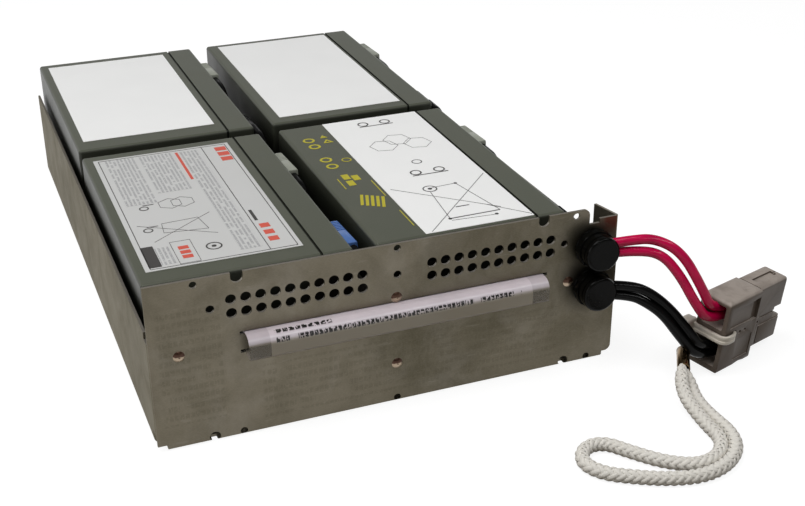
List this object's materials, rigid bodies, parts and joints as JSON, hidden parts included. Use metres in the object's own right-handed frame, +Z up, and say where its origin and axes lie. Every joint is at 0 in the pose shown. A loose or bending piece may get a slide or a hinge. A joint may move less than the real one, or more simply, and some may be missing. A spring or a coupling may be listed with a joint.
{
  "type": "ups battery cartridge",
  "caption": "Folded steel tray holding sealed batteries side by side, with a vented front panel, a film handle, leads to a grey power plug and a braided pull rope.",
  "frame": {"origin": "centre of the tray's underside", "axes": "+X to the right along the front panel, +Y from the front panel to the back, +Z up"},
  "size_m": [0.2975, 0.4429, 0.0785],
  "materials": {
    "galvanised_steel": "satin",
    "rivet_brass": "satin",
    "clear_film": "gloss",
    "foam": "matte",
    "battery_case": "satin",
    "battery_lid": "satin",
    "tinned_brass": "satin",
    "label_paper": "satin",
    "blue_nylon": "gloss",
    "black_nylon": "gloss",
    "natural_nylon": "satin",
    "red_wire": "gloss",
    "black_wire": "gloss",
    "grey_plug": "satin",
    "silvered_copper": "satin",
    "spring_steel": "satin",
    "rope": "matte"
  },
  "bodies": {
    "root": {"tray": "galvanised_steel", "panel_rivets": "rivet_brass", "battery_stop": "galvanised_steel", "handle_band": "clear_film", "foam_tape": "foam", "battery_case_front_left": "battery_case", "battery_lid_front_left": "battery_lid", "vent_cover_front_left": "battery_lid", "terminals_front_left": "tinned_brass", "label_front_left": "label_paper", "front_insulator_front_left": "blue_nylon", "rear_insulator_front_left": "natural_nylon", "battery_case_front_right": "battery_case", "battery_lid_front_right": "battery_lid", "vent_cover_front_right": "battery_lid", "terminals_front_right": "tinned_brass", "label_front_right": "label_paper", "front_insulator_front_right": "black_nylon", "rear_insulator_front_right": "natural_nylon", "battery_case_rear_left": "battery_case", "battery_lid_rear_left": "battery_lid", "vent_cover_rear_left": "battery_lid", "terminals_rear_left": "tinned_brass", "label_rear_left": "label_paper", "front_insulator_rear_left": "black_nylon", "rear_insulator_rear_left": "natural_nylon", "battery_case_rear_right": "battery_case", "battery_lid_rear_right": "battery_lid", "vent_cover_rear_right": "battery_lid", "terminals_rear_right": "tinned_brass", "label_rear_right": "label_paper", "front_insulator_rear_right": "black_nylon", "rear_insulator_rear_right": "natural_nylon", "left_positive_lead": "red_wire", "right_positive_lead": "red_wire", "left_negative_lead": "black_wire", "right_negative_lead": "black_wire", "left_jumper": "black_wire", "right_jumper": "black_wire", "strain_relief_upper": "black_nylon", "strain_relief_lower": "black_nylon", "plug_housing": "grey_plug", "contact_negative": "silvered_copper", "contact_spring_negative": "spring_steel", "contact_positive": "silvered_copper", "contact_spring_positive": "spring_steel", "cable_tie": "natural_nylon", "rope_ferrule": "rivet_brass", "red_lead_upper": "red_wire", "red_lead_lower": "red_wire", "black_lead_upper": "black_wire", "black_lead_lower": "black_wire", "pull_rope": "rope"}
  },
  "joints": []
}
